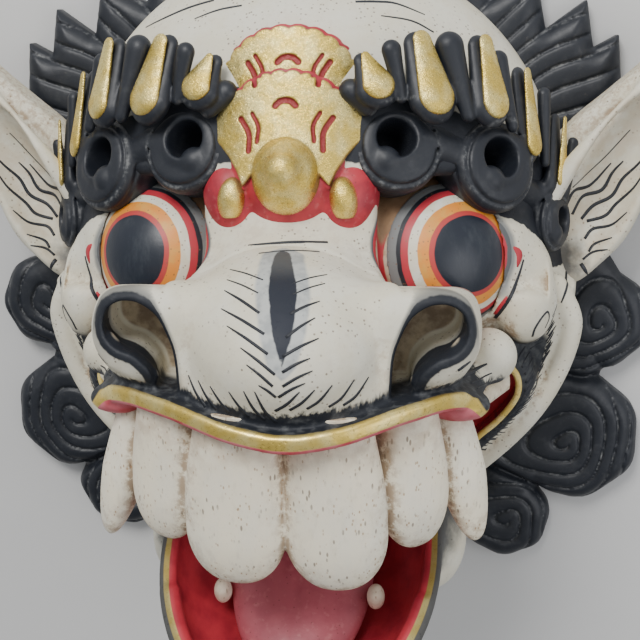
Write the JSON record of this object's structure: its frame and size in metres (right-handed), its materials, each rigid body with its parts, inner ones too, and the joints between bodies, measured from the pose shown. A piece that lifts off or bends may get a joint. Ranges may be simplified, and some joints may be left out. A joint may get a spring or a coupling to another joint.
{
  "type": "barong mask",
  "caption": "Carved and painted wooden barong mask lying on its back, with a hollow shell, bulging eyes, big upper teeth, leaf ears, a flame mane and a hinged lower jaw.",
  "frame": {"origin": "under the middle of the whole mask, on the plane of its flat back", "axes": "+Z is where the face looks, +Y is towards the forehead, +X is towards the mask's left ear, on the viewer's right"},
  "size_m": [0.3872, 0.3762, 0.205],
  "materials": {
    "white_paint": "cream paint on wood with black, red, orange and gold leaf painting, fine pits and brown stains",
    "red_paint": "satin crimson paint inside, cream outside, gold edge",
    "pink_paint": "satin pink paint",
    "ear_paint": "cream paint with black brush strokes and brown stains",
    "black_paint": "matt blue-black paint, worn grey on the ridges"
  },
  "bodies": {
    "head": {"face": "white_paint", "ear_left": "ear_paint", "ear_right": "ear_paint", "mane_left": "black_paint", "mane_right": "black_paint"},
    "jaw": {"lower_jaw": "red_paint", "tongue": "pink_paint"}
  },
  "joints": [
    {"name": "jaw_hinge", "type": "hinge", "parent": "head", "child": "jaw", "pos_m": [0, -0.08293, 0.045], "axis": [-1, 0, 0], "range_deg": [0, 20]}
  ]
}
